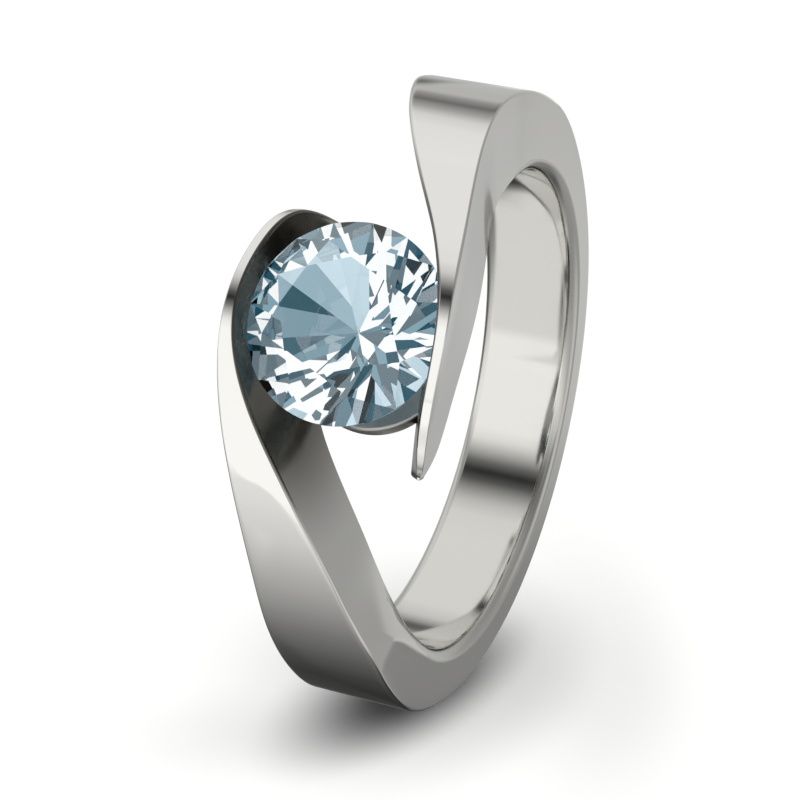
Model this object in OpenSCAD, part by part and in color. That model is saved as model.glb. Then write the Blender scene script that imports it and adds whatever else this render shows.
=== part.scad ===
// A tension ring: one cast band whose two ends pass each other and grip a round
// brilliant cut aquamarine between them.
// It lies on its side, as it does on a table top. Sizes are in millimetres.
//
// Row frame: the origin is the middle of the finger bore, the stone is towards -Y,
// and +Z is up. The finger axis leans back from +Z by rest_lean, because the arms
// are wider than the shank and hold the stone's end of the ring a little higher.
//
// Inside the modules the ring is drawn square to its own finger axis, and each
// module turns its piece by rest_lean at the end.

/* [Finger bore] */
// Inside diameter, a US size 7
bore_d = 17.35; // [16.5:0.05:18.2]
// Height and depth of the soft rim along both edges of the bore
comfort_rim = 0.42; // [0.2:0.02:0.5]

/* [Shank] */
// Width of the shank along the finger
band_width = 3.8; // [3.6:0.05:4.2]
// Rounding of the outer edges, all along the back of the shank
shank_edge = 0.25; // [0.1:0.05:0.4]
// Extra rounding of the outer edges at the shoulders
shoulder_edge = 0.15; // [0:0.05:0.2]
// Bevel on the sharp edges of the two arms
arm_edge = 0.05; // [0.03:0.01:0.1]

/* [Stone] */
// Diameter of the stone at its girdle
stone_d = 6.5; // [6.2:0.05:6.7]
// Height of the girdle's middle above the bore's centre
girdle_height = 12.0; // [11.9:0.05:12.2]
// Thickness of the girdle
girdle_thick = 0.14; // [0.08:0.01:0.2]
// Height of the crown, from the girdle to the table
crown_rise = 0.96; // [0.8:0.02:1.1]
// Depth of the pavilion, as a share of the diameter
pavilion_share = 0.425; // [0.4:0.005:0.44]
// Width of the table from corner to corner, as a share of the diameter
table_share = 0.58; // [0.5:0.01:0.62]
// Turn of the facets about the stone's axis, in degrees
stone_turn = 0.5; // [0:0.5:44]

/* [Setting] */
// Gap between the stone and the metal
seat_gap = 0.03; // [0.02:0.01:0.05]
// How far the lip of each arm reaches in over the girdle
lip_cover = 0.09; // [0.05:0.01:0.15]
// Diameter of the collar between the two arms, under the stone
collar_d = 5.6; // [5:0.1:6]
// Height of the collar's top above the bore's centre
collar_height = 9.0; // [8.95:0.01:9.05]
// Diameter of the light hole through the collar
light_hole_d = 3.0; // [2:0.1:3.6]

/* [Rest] */
// How far the ring leans on its side, with the stone's end raised, in degrees
rest_lean = 4.35; // [0:0.05:6]

/* [Hidden] */

$fn = 96;

bore_r = bore_d / 2;
half_width = band_width / 2;

// The bore cut starts from points this far inside the bore wall.
cut_under = 0.3;
// Sections drawn between one row of the table and the next.
STEPS = 4;

// Half of the band, from an arm's tip to the middle of the shank. The other half is
// the same, turned by half a turn about the stone's axis.
// Each row is one section, and the band runs smoothly close by the rows.
// ANGLE is counted along the band from the stone's axis: a row with a minus sign is
// on the part of the arm that reaches past the stone.
// RISE is the thickness of metal over the bore.
// FACE is the side that faces away from the stone, and WALL the side that faces it,
// both counted from the ring's middle plane, at the bore and at the top.
ANGLE = 0;
RISE = 1;
FACE_LOW = 2;
FACE_TOP = 3;
WALL_LOW = 4;
WALL_TOP = 5;
ROWS = [
    // angle, rise, face low, face top, wall low, wall top
    [-25.0, 0.30, 2.38, 2.30, -1.90, -2.20],
    [-20.5, 2.20, 2.70, 3.05, -1.88, -2.85],
    [-15.0, 3.40, 2.82, 3.42, -1.84, -3.05],
    [ -8.0, 4.05, 2.90, 3.60, -1.78, -3.22],
    [  0.0, 4.50, 2.98, 3.70, -1.76, -3.34],
    [  8.0, 4.52, 2.99, 3.52, -1.74, -2.90],
    [ 16.0, 4.22, 2.87, 3.21, -1.62, -2.04],
    [ 24.0, 3.92, 2.63, 2.80, -1.00, -0.92],
    [ 33.0, 3.66, 2.28, 2.36, -0.25,  0.12],
    [ 42.0, 3.48, 1.97, 2.02,  0.40,  1.05],
    [ 51.0, 3.33, 1.88, 1.88,  0.82,  1.60],
    [ 60.0, 2.98, 1.90, 1.90,  1.14,  2.80],
    [ 72.0, 2.68, 1.90, 1.90,  1.42,  3.35],
    [ 85.0, 2.42, 1.90, 1.90,  1.48,  3.25],
    [100.0, 1.92, 1.90, 1.90,  1.48,  3.15],
    [120.0, 1.62, 1.90, 1.90,  1.48,  3.08],
    [148.0, 1.59, 1.90, 1.90,  1.48,  3.08],
    [180.0, 1.59, 1.90, 1.90,  1.48,  3.08],
];
LAST = len(ROWS) - 1;

// 0 before a, 1 after b, and smooth between them.
function ramp(x, a, b) =
    let (t = max(0, min(1, (x - a) / (b - a))))
    t * t * (3 - 2 * t);

// A row past the shank's middle is the mirror of the one before it, and the row
// before the tip carries on in line with the first two.
function row(i) =
    i < 0 ? 2 * ROWS[0] - ROWS[-i]
    : i <= LAST ? ROWS[i]
    : let (r = ROWS[2 * LAST - i]) [for (k = [0 : len(r) - 1]) k == ANGLE ? 360 - r[k] : r[k]];

// The section at t, where t = 0 is the first row and t = 1 the second: a cubic
// B-spline of the four rows around it.
function section(t) =
    let (
        i = min(floor(t), LAST - 1),
        f = t - i,
        w = [pow(1 - f, 3), 3 * pow(f, 3) - 6 * f * f + 4,
             -3 * pow(f, 3) + 3 * f * f + 3 * f + 1, pow(f, 3)] / 6
    )
    w[0] * row(i - 1) + w[1] * row(i) + w[2] * row(i + 1) + w[3] * row(i + 2);

// How much the outer edge is rounded at an angle along the band.
function edge_round(s) =
    arm_edge + (shank_edge - arm_edge) * ramp(s, 44, 62)
    + shoulder_edge * ramp(s, 44, 62) * (1 - ramp(s, 72, 105));

// One side of a section, from inside the bore to the top edge, as [radius, z].
// The side runs from low to high at its knee, and from there to the top edge.
function side(low, knee, knee_z, mid_push, top_r, top_z, round_in_z, edge) =
    let (
        mid_r = (bore_r + knee) / 2 - mid_push,
        mid_z = (low + knee_z) / 2 + mid_push,
        grade = (mid_z - low) / (mid_r - bore_r)
    )
    [
        [bore_r - cut_under, low - cut_under * grade],
        [mid_r, mid_z],
        [knee, knee_z],
        [top_r - edge, round_in_z],
        [top_r - 0.29 * edge, top_z - 0.29 * edge],
        [top_r, top_z - edge],
    ];

// The side that faces away from the stone.
function face_side(r) =
    let (
        s = r[ANGLE],
        rise = r[RISE],
        grade = (r[FACE_TOP] - r[FACE_LOW]) / rise,
        edge = min(edge_round(s), rise * 0.3),
        rim = min(max(0.05, comfort_rim * ramp(s, 44, 72)), rise * 0.4),
        low = rim > 0.05 ? r[FACE_LOW] - rim : r[FACE_LOW] - 0.02,
        knee_z = r[FACE_LOW] + grade * rim,
        push = 0.207 * rim * ramp(s, 44, 60)
    )
    side(low, bore_r + rim, knee_z, push, bore_r + rise, r[FACE_TOP],
         r[FACE_LOW] + grade * (rise - edge), edge);

// The side that faces the stone. Round the shoulder it meets the flat side of the
// shank at a crease, and further on only a rim at the bore is left of it.
function wall_side(r) =
    let (
        s = r[ANGLE],
        rise = r[RISE],
        grade = (r[WALL_TOP] - r[WALL_LOW]) / rise,
        edge = min(edge_round(s), rise * 0.3),
        crease = r[WALL_TOP] > half_width ? (half_width - r[WALL_LOW]) / grade : rise,
        knee = max(0.03, min(crease, rise - edge - 0.08 * min(1, rise))),
        push = 0.207 * min(comfort_rim, knee) * ramp(s, 62, 85),
        top_z = min(half_width, r[WALL_TOP])
    )
    side(r[WALL_LOW], bore_r + knee, min(half_width, r[WALL_LOW] + grade * knee), push,
         bore_r + rise, top_z, min(half_width, r[WALL_LOW] + grade * (rise - edge)), edge);

// All sections of the band, from the tip of the near arm, round the back of the
// shank, to the tip of the far arm.
HALF_COUNT = LAST * STEPS;
function near_arm(j) = j <= HALF_COUNT;
function outline(j) =
    let (
        t = (near_arm(j) ? j : 2 * HALF_COUNT - j) / STEPS,
        r = section(t),
        a = face_side(r),
        b = wall_side(r),
        near = near_arm(j) ? a : b,
        far = near_arm(j) ? b : a,
        turn = near_arm(j) ? -r[ANGLE] : r[ANGLE],
        n = len(near)
    )
    [
        for (p = near) [p[0] * sin(turn), -p[0] * cos(turn), p[1]],
        for (k = [n - 1 : -1 : 0]) [far[k][0] * sin(turn), -far[k][0] * cos(turn), -far[k][1]],
    ];

// The swept band, before the bore and the setting are cut.
module swept_band() {
    rings = [for (j = [0 : 2 * HALF_COUNT]) outline(j)];
    count = len(rings);
    n = len(rings[0]);
    points = [for (ring = rings, p = ring) p];
    skin = [
        for (j = [0 : count - 2], k = [0 : n - 1])
            let (a = j * n + k, b = j * n + (k + 1) % n, c = b + n, d = a + n)
            each [[a, b, c], [a, c, d]]
    ];
    first = [for (k = [n - 1 : -1 : 0]) k];
    final = [for (k = [0 : n - 1]) (count - 1) * n + k];
    polyhedron(points = points, faces = concat(skin, [first, final]), convexity = 6);
}

// Turns a shape that is drawn along +Z so that it points along the stone's axis.
module along_stone() {
    rotate([90, 0, 0]) children();
}

// The collar that joins the arms under the stone.
module collar() {
    along_stone()
        translate([0, 0, bore_r - cut_under])
            cylinder(h = collar_height - bore_r + cut_under, r = collar_d / 2);
}

// The room that the stone needs between the arms: a groove for the girdle with a
// lip over it, a slope along the pavilion below it and a straight way out above it.
module pocket() {
    stone_r = stone_d / 2;
    seat_r = stone_r + seat_gap;
    lip_r = stone_r - lip_cover;
    slope = pavilion_share * stone_d / stone_r;
    low = girdle_height - girdle_thick / 2 - seat_gap;
    high = girdle_height + girdle_thick / 2 + seat_gap;
    below = 1.2;
    lip = lip_cover + seat_gap;
    along_stone()
        rotate_extrude()
            polygon([
                [0, low - below],
                [seat_r - below / slope, low - below],
                [seat_r, low],
                [seat_r, high],
                [lip_r, high + lip * 0.7],
                [lip_r, girdle_height + 3],
                [0, girdle_height + 3],
            ]);
}

module finger_bore() {
    translate([0, 0, -10])
        cylinder(h = 20, r = bore_r);
}

module light_hole() {
    along_stone()
        translate([0, 0, bore_r - 2])
            cylinder(h = 3, r = light_hole_d / 2);
}

module band() {
    color([0.78, 0.78, 0.77])
        rotate([-rest_lean, 0, 0])
            difference() {
                union() {
                    swept_band();
                    collar();
                }
                finger_bore();
                light_hole();
                pocket();
            }
}

// Corners of the stone, as [radius, angle, height over the girdle's middle].
// The table has a corner at each eighth of a turn, and a kite facet below each one.
EIGHTH = 45;
// Flats along the girdle below or above one small facet.
GIRDLE_STEPS = 4;

// Height of the plane through the corner j and the girdle at the angles 0 and 22.5,
// at the girdle and the angle a between them.
function small_facet(jr, jz, gr, gz, a) =
    let (
        half = EIGHTH / 4,
        reach = gr * cos(half),
        corner = jr * cos(half),
        here = gr * cos(a - half)
    )
    gz + (here - reach) * (jz - gz) / (corner - reach);

function stone_point(radius, angle, height) = [
    radius * sin(angle + stone_turn),
    -girdle_height - height,
    radius * cos(angle + stone_turn),
];

// A round brilliant: a table, 8 stars, 8 kites and 16 small facets on the crown,
// and 8 long kites and 16 small facets on the pavilion.
module brilliant() {
    gr = stone_d / 2;
    gz = girdle_thick / 2;
    table_r = gr * table_share;
    pavilion = stone_d * pavilion_share;
    star_r = (table_r * cos(EIGHTH / 2) + gr) / 2;
    star_z = gz + crown_rise * (gr - star_r * cos(EIGHTH / 2)) / (gr - table_r);
    long_r = gr * 0.24;
    long_z = -gz - pavilion * (1 - long_r * cos(EIGHTH / 2) / gr);
    n = 16 * GIRDLE_STEPS;
    step = 360 / n;

    // Heights of the wavy edges where the small facets meet the girdle.
    function folded(i) = let (a = (i % (2 * GIRDLE_STEPS)) * step) a <= EIGHTH / 2 ? a : EIGHTH - a;

    table = [for (k = [0 : 7]) stone_point(table_r, EIGHTH * k, gz + crown_rise)];
    stars = [for (k = [0 : 7]) stone_point(star_r, EIGHTH * (k + 0.5), star_z)];
    upper = [for (i = [0 : n - 1]) stone_point(gr, step * i, small_facet(star_r, star_z, gr, gz, folded(i)))];
    lower = [for (i = [0 : n - 1]) stone_point(gr, step * i, small_facet(long_r, long_z, gr, -gz, folded(i)))];
    longs = [for (k = [0 : 7]) stone_point(long_r, EIGHTH * (k + 0.5), long_z)];
    culet = stone_point(0, 0, -gz - pavilion);

    T = 0;
    S = 8;
    U = 16;
    L = U + n;
    P = L + n;
    C = P + 8;
    G = GIRDLE_STEPS;

    faces = concat(
        [[for (k = [0 : 7]) T + k]],
        [for (k = [0 : 7]) [T + k, S + k, T + (k + 1) % 8]],
        [for (k = [0 : 7]) [T + k, S + (k + 7) % 8, U + 2 * G * k, S + k]],
        [for (k = [0 : 7]) [S + k, for (i = [0 : G]) U + 2 * G * k + i]],
        [for (k = [0 : 7]) [S + k, for (i = [G : 2 * G]) U + (2 * G * k + i) % n]],
        [for (i = [0 : n - 1]) [U + i, L + i, L + (i + 1) % n, U + (i + 1) % n]],
        [for (k = [0 : 7]) [C, P + k, L + 2 * G * k, P + (k + 7) % 8]],
        [for (k = [0 : 7]) [P + k, for (i = [G : -1 : 0]) L + 2 * G * k + i]],
        [for (k = [0 : 7]) [P + k, for (i = [2 * G : -1 : G]) L + (2 * G * k + i) % n]]
    );
    polyhedron(points = concat(table, stars, upper, lower, longs, [culet]), faces = faces, convexity = 2);
}

module aquamarine() {
    color([0.62, 0.82, 0.88, 0.6])
        rotate([-rest_lean, 0, 0])
            brilliant();
}

band();
aquamarine();
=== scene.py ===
# %% [markdown]
# # A tension ring with an aquamarine
#
# The part is a finger ring of polished white gold. The two ends of its band pass each other and
# grip a round brilliant cut aquamarine between them, and a small collar under the stone joins the
# two arms. The ring lies on its side on a pale table.
#
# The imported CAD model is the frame: it gives every place and size. The CAD band is cut from flat
# facets, and polished metal would show each one. This lesson therefore sweeps the sections again,
# much finer, and cuts the seat of the stone into that mesh. A few sizes differ from the CAD model's
# by less than a tenth of a millimetre, and the edges are rounded by other amounts. The stone keeps
# its flat facets on purpose, because a cut stone has them.

import math

import bmesh
import bpy
import numpy as np
from mathutils import Matrix, Vector


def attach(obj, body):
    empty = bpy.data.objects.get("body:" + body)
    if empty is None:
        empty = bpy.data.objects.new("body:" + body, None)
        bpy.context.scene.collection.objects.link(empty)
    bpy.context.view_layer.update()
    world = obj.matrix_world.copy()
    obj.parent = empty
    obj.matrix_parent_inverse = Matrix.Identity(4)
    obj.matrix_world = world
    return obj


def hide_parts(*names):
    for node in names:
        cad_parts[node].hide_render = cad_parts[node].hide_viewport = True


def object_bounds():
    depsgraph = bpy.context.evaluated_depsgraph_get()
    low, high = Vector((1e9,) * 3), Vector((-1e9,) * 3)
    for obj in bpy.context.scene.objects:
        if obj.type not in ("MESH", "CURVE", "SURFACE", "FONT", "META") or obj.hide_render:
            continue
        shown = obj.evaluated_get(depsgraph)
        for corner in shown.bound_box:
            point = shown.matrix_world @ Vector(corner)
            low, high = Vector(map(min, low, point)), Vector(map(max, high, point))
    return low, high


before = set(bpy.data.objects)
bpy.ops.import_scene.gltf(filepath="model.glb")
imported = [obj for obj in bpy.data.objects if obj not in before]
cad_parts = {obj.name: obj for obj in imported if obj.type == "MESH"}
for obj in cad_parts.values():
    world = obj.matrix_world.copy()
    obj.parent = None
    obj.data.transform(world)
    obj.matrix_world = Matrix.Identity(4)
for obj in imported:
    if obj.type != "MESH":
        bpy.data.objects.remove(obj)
bpy.context.view_layer.update()
cad_low, cad_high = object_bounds()
print("CAD size in mm:", [round((b - a) * 1000, 2) for a, b in zip(cad_low, cad_high)])

# %% [markdown]
# ## Units and small helpers
#
# Sizes are given in millimetres, as on a jeweller's drawing, and Blender works in metres, so every
# mesh is scaled by MM once, when it is made. A colour is written as the sRGB hex value that a
# picture shows, and one function turns it into the linear numbers that shaders work with.

# %% Units, colours and nodes
MM = 0.001


def linear(hex_colour):
    """The linear RGBA value of an sRGB hex colour such as "#C8C8C4"."""
    channels = [int(hex_colour[i : i + 2], 16) / 255 for i in (1, 3, 5)]
    return [c / 12.92 if c <= 0.04045 else ((c + 0.055) / 1.055) ** 2.4 for c in channels] + [1.0]


def add_node(tree, kind, settings=None, inputs=None, links=None):
    """Adds one node, sets its properties and sockets, and links other nodes' outputs to it.

    A socket is given by its name, or by its number where several have the same name.
    """
    made = tree.nodes.new(kind)
    for name, value in (settings or {}).items():
        setattr(made, name, value)
    for name, value in (inputs or {}).items():
        made.inputs[name].default_value = value
    for name, output in (links or {}).items():
        tree.links.new(output, made.inputs[name])
    return made


def new_material(name):
    """An empty node material, and its tree."""
    made = bpy.data.materials.new(name)
    made.use_nodes = True
    made.node_tree.nodes.clear()
    return made, made.node_tree


print("mid grey #808080 is", round(linear("#808080")[0], 4), "in linear light")

# %% [markdown]
# ## The sections of the band
#
# The band is described by a short table. Each row is one section, at an angle along the band from
# the stone. It gives the thickness of metal over the finger bore, and how far the side that faces
# away from the stone and the wall that faces it stand from the ring's middle plane, at the bore and
# at the top. Half of the ring is enough: the other half is the same, turned by half a turn about
# the stone's axis.
#
# A cubic B-spline runs smoothly close by the rows. Its curvature has no jumps, which matters
# because a mirror finish shows every jump as a kink in the reflections.

# %% The table of sections
BORE_R = 8.675
HALF_WIDTH = 1.9
RIM = 0.42
ARM_FACE_EDGE = 0.09
ARM_WALL_EDGE = 0.14
SHANK_EDGE = 0.15
CORNER_MELT = 0.8
REST_LEAN = 4.35

ROWS = np.array([
    # angle, rise, face low, face top, wall low, wall top
    [-25.0, 0.30, 2.38, 2.32, -1.90, -2.20],
    [-20.5, 2.20, 2.66, 3.06, -1.88, -2.85],
    [-15.0, 3.40, 2.81, 3.42, -1.84, -3.05],
    [-8.0, 4.05, 2.90, 3.60, -1.78, -3.22],
    [0.0, 4.50, 2.98, 3.70, -1.76, -3.34],
    [8.0, 4.52, 2.99, 3.52, -1.74, -2.90],
    [16.0, 4.22, 2.87, 3.21, -1.62, -2.04],
    [24.0, 3.92, 2.63, 2.80, -1.00, -0.92],
    [33.0, 3.66, 2.28, 2.36, -0.25, 0.12],
    [42.0, 3.48, 1.97, 2.02, 0.40, 1.05],
    [51.0, 3.33, 1.88, 1.88, 0.82, 1.60],
    [60.0, 2.98, 1.90, 1.90, 1.14, 2.80],
    [72.0, 2.60, 1.90, 1.90, 1.42, 3.35],
    [85.0, 2.42, 1.90, 1.90, 1.48, 3.25],
    [100.0, 1.92, 1.90, 1.90, 1.48, 3.15],
    [120.0, 1.62, 1.90, 1.90, 1.48, 3.08],
    [148.0, 1.59, 1.90, 1.90, 1.48, 3.08],
    [180.0, 1.59, 1.90, 1.90, 1.48, 3.08],
])
LAST = len(ROWS) - 1


def ramp(x, start, end):
    """0 before start, 1 after end, and smooth between them."""
    t = min(max((x - start) / (end - start), 0), 1)
    return t * t * (3 - 2 * t)


def table_row(i):
    """Row i. Past the middle of the shank the rows mirror, and before the tip they run on."""
    if i < 0:
        return 2 * ROWS[0] - ROWS[-i]
    if i <= LAST:
        return ROWS[i]
    mirrored = ROWS[2 * LAST - i].copy()
    mirrored[0] = 360 - mirrored[0]
    return mirrored


def section_at(t):
    """The blended row at t: 0 is the tip's row, 1 the next one, LAST the middle of the shank."""
    i = min(int(t), LAST - 1)
    f = t - i
    weights = (
        (1 - f) ** 3 / 6,
        (3 * f**3 - 6 * f * f + 4) / 6,
        (-3 * f**3 + 3 * f * f + 3 * f + 1) / 6,
        f**3 / 6,
    )
    return sum(w * table_row(i - 1 + k) for k, w in enumerate(weights))


angle, rise = section_at(4.0)[:2]
print(f"beside the stone, at {angle:.1f} degrees, the arm is {rise:.2f} mm high over the bore")

# %% [markdown]
# ## One section as a line of points
#
# A section is drawn from the bore to the top edge, once for each side. Real edges are never sharp:
# polishing rounds them, and a rounded edge catches a thin line of light. Each corner is therefore
# a small arc between two points, and the bore has a wide, soft rim, which makes a ring comfortable.

# %% Draw the sides of a section
RIM_POINTS = 9
FLAT_POINTS = 3
CORNER_POINTS = 7
KNEE_POINTS = 5
TOP_POINTS = 23
BORE_POINTS = 7

# how far a curve at the knee reaches: shares of the way before and after it, and millimetres
KNEE_BEFORE = 0.3
KNEE_AFTER = 0.45
FACE_ROUND = 0.05
CREASE_ROUND = 0.15

# limits of the edges and the rim, as shares of the section's height or thickness, or millimetres
MOST_EDGE = 0.3
FACE_EDGE_SHARE = 0.12
WALL_EDGE_SHARE = 0.25
MOST_RIM = 0.4
LEAST_RIM = 0.05
LEAST_RIM_WIDTH = 0.02
LEAST_KNEE = 0.03
KNEE_CLEAR = 0.08

# angles along the band between which something grows from nothing to full
EDGE_TURNS = (44, 62)
RIM_TURNS = (44, 72)
RIM_ROUND_TURNS = (44, 60)
WALL_ROUND_TURNS = (62, 85)

# the weight of a corner that makes a three point curve a quarter of a circle
ROUND_WEIGHT = 0.707


def arc(start, corner, end, count):
    """count points of a round corner, from start to end."""
    start, corner, end = (np.array(p, float) for p in (start, corner, end))
    points = []
    for u in np.linspace(0, 1, count):
        a, b, c = (1 - u) ** 2, 2 * ROUND_WEIGHT * u * (1 - u), u * u
        points.append((a * start + b * corner + c * end) / (a + b + c))
    return points


def between(start, end, count):
    """count points inside the straight line from start to end."""
    return [start + (end - start) * (k + 1) / (count + 1) for k in range(count)]


def edge_round(s, arm_edge):
    """How much an outer edge is rounded, at an angle s along the band."""
    return arm_edge + (SHANK_EDGE - arm_edge) * ramp(s, *EDGE_TURNS)


def smaller(a, b):
    """The smaller of two lengths, with a soft change where they are nearly the same."""
    near = max(CORNER_MELT - abs(a - b), 0) / CORNER_MELT
    return min(a, b) - near * near * CORNER_MELT / 4


def rim_curve(low, knee, roundness):
    """From the bore wall to the knee: a straight slope, a quarter of an ellipse, or a mix."""
    points = []
    for u in np.linspace(0, 1, RIM_POINTS):
        slope = low + (knee - low) * u
        turn = u * math.pi / 2
        oval = np.array([
            low[0] + (knee[0] - low[0]) * (1 - math.cos(turn)),
            low[1] + (knee[1] - low[1]) * math.sin(turn),
        ])
        points.append(slope + (oval - slope) * roundness)
    return points


def side_points(low, knee, line, roundness, crease, top_r, top_z, edge):
    """A side from the bore to the top edge. line(r) is its distance from the middle plane."""
    low, knee = np.array(low), np.array(knee)
    edge_start = np.array([top_r - edge, line(top_r - edge)])
    points = rim_curve(low, knee, roundness)
    way = edge_start - knee
    after = knee + way * min(KNEE_AFTER, crease / max(np.linalg.norm(way), 1e-6))
    before = points[-2] + (knee - points[-2]) * KNEE_BEFORE
    points = points[:-1] + arc(before, knee, after, KNEE_POINTS)
    points += between(after, edge_start, FLAT_POINTS)
    return points + arc(edge_start, (top_r, top_z), (top_r, top_z - edge), CORNER_POINTS)


def face_points(row):
    """The side that faces away from the stone."""
    s, rise, low, top = row[0], row[1], row[2], row[3]
    edge = min(edge_round(s, ARM_FACE_EDGE), rise * MOST_EDGE, (top + row[5]) * FACE_EDGE_SHARE)
    rim = min(max(LEAST_RIM, RIM * ramp(s, *RIM_TURNS)), rise * MOST_RIM)
    grade = (top - low) / rise

    def line(r):
        return low + grade * (r - BORE_R)

    start = low - rim if rim > LEAST_RIM else low - LEAST_RIM_WIDTH
    return side_points((BORE_R, start), (BORE_R + rim, line(BORE_R + rim)), line,
                       ramp(s, *RIM_ROUND_TURNS), FACE_ROUND, BORE_R + rise, top, edge)


def wall_points(row):
    """The side that faces the stone. It meets the flat of the shank at a soft crease."""
    s, rise, low, top = row[0], row[1], row[4], row[5]
    edge = min(edge_round(s, ARM_WALL_EDGE), rise * MOST_EDGE, (row[3] + top) * WALL_EDGE_SHARE)
    grade = (top - low) / rise
    flat = smaller(HALF_WIDTH, top)
    crease_at = (flat - low) / grade
    knee = max(LEAST_KNEE, min(crease_at, rise - edge - KNEE_CLEAR * min(1, rise)))

    def line(r):
        return min(flat, low + grade * (r - BORE_R))

    return side_points((BORE_R, low), (BORE_R + knee, line(BORE_R + knee)), line,
                       ramp(s, *WALL_ROUND_TURNS), CREASE_ROUND, BORE_R + rise, flat, edge)


print("points on one side of a section:", len(face_points(section_at(10))))

# %% [markdown]
# ## Sweep the band
#
# The sections are set round the finger axis from the tip of one arm, through the back of the
# shank, to the tip of the other arm, and joined with four-sided faces. The tips are closed by a
# few smaller and smaller sections, which gives them the soft end that polishing leaves.

# %% Sweep the sections into a mesh
STEPS = 16
TIP_LENGTH = 0.1
TIP_END_SIZE = 0.5
TIP_STEPS = [
    (TIP_END_SIZE + (1 - TIP_END_SIZE) * math.cos(a), TIP_LENGTH * math.sin(a))
    for a in np.radians([90, 75, 60, 45, 30, 15])
]


def place(point, turn):
    """A point [radius, z] of a section, at an angle in degrees round the finger axis."""
    a = math.radians(turn)
    return (point[0] * math.sin(a), -point[0] * math.cos(a), point[1])


def closed_section(near, far):
    """The whole outline of a section, from its near side over the top to its far side."""
    far = [np.array([r, -z]) for r, z in far]
    over = between(near[-1], far[-1], TOP_POINTS)
    under = between(far[0], near[0], BORE_POINTS)
    return near + over + far[::-1] + under


def band_sections():
    """Every section of the band, as a list of rings of points."""
    rings = []
    middle = LAST * STEPS
    for j in range(2 * middle + 1):
        near_arm = j <= middle
        row = section_at((j if near_arm else 2 * middle - j) / STEPS)
        face, wall = face_points(row), wall_points(row)
        outline = closed_section(face, wall) if near_arm else closed_section(wall, face)
        rings.append((outline, -row[0] if near_arm else row[0]))
    for end in (0, -1):
        outline, turn = rings[end]
        centre = sum(outline) / len(outline)
        outward = math.copysign(math.degrees(1 / BORE_R), turn)
        caps = [([centre + (p - centre) * scale for p in outline], turn + outward * out)
                for scale, out in TIP_STEPS]
        rings = caps + rings if end == 0 else rings + caps[::-1]
    return [[place(p, turn) for p in outline] for outline, turn in rings]


def new_object(name, points, faces):
    """A mesh object from points in millimetres and faces, with its normals outward."""
    mesh = bpy.data.meshes.new(name)
    mesh.from_pydata([Vector(p) * MM for p in points], [], faces)
    shape = bmesh.new()
    shape.from_mesh(mesh)
    bmesh.ops.recalc_face_normals(shape, faces=shape.faces)
    shape.to_mesh(mesh)
    shape.free()
    made = bpy.data.objects.new(name, mesh)
    bpy.context.scene.collection.objects.link(made)
    return made


def joined_rings(rings):
    """Points and faces of a closed body that runs through rings of points."""
    count = len(rings[0])
    points = [p for ring in rings for p in ring]
    faces = []
    for j in range(len(rings) - 1):
        for k in range(count):
            a, b = j * count + k, j * count + (k + 1) % count
            faces.append((a, b, b + count, a + count))
    faces.append(tuple(range(count)))
    faces.append(tuple(len(points) - count + k for k in range(count)))
    return points, faces


band = new_object("ring_band", *joined_rings(band_sections()))
print("band:", len(band.data.vertices), "points,", len(band.data.polygons), "faces")

# %% [markdown]
# ## The collar and the seat
#
# A round collar joins the arms under the stone. It follows the bore on its inner side, has a light
# hole in its middle, and its top is slightly dished. Each arm is cut for the stone: a groove takes
# the girdle, a slope runs along the pavilion below it, and a thin lip covers it from above.
#
# Both are turned shapes about the stone's axis, so each is a short profile that is spun round.

# %% Spin the collar and the cutter for the seat
STONE_R = 3.25
GIRDLE_HEIGHT = 12.0
GIRDLE_THICK = 0.14
CROWN_RISE = 0.96
PAVILION_DEPTH = 0.425 * 2 * STONE_R
SEAT_GAP = 0.03
LIP_COVER = 0.09
COLLAR_R = 2.8
COLLAR_HEIGHT = 9.0
COLLAR_ROUND = 0.1
COLLAR_FOOT = 0.6
LIGHT_HOLE_R = 1.5
HOLE_LIP = [(0, 0.16), (0, 0.08), (0.1, 0.06)]
LIP_SLOPE = 0.7
POCKET_DEPTH = 1.2
OPEN_ABOVE = 3
BORE_CUT_ENDS = (-6, 6)


def spun(name, profile, sides):
    """A body turned about the stone's axis. profile has [radius, height] points."""
    rings = []
    for k in range(sides):
        a = 2 * math.pi * k / sides
        rings.append([(r * math.sin(a), -h, r * math.cos(a)) for r, h in profile])
    count = len(profile)
    points = [p for ring in rings for p in ring]
    faces = []
    for j in range(sides):
        for k in range(count):
            a, b = j * count + k, j * count + (k + 1) % count
            c, d = (b + count) % len(points), (a + count) % len(points)
            faces.append((a, b, c, d))
    made = new_object(name, points, faces)
    shape = bmesh.new()
    shape.from_mesh(made.data)
    bmesh.ops.remove_doubles(shape, verts=shape.verts, dist=1e-8)
    bmesh.ops.dissolve_degenerate(shape, edges=shape.edges, dist=1e-8)
    bmesh.ops.recalc_face_normals(shape, faces=shape.faces)
    shape.to_mesh(made.data)
    shape.free()
    return made


def collar_profile():
    """The collar's section: its dished top, its soft rim and its light hole."""
    top = COLLAR_HEIGHT
    rim = arc((COLLAR_R - COLLAR_ROUND, top), (COLLAR_R, top), (COLLAR_R, top - COLLAR_ROUND), 6)
    lip = arc(*[(LIGHT_HOLE_R + out, top - down) for out, down in HOLE_LIP], 5)
    low = BORE_R - COLLAR_FOOT
    return [(LIGHT_HOLE_R, low)] + [tuple(p) for p in lip + rim] + [(COLLAR_R, low)]


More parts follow.
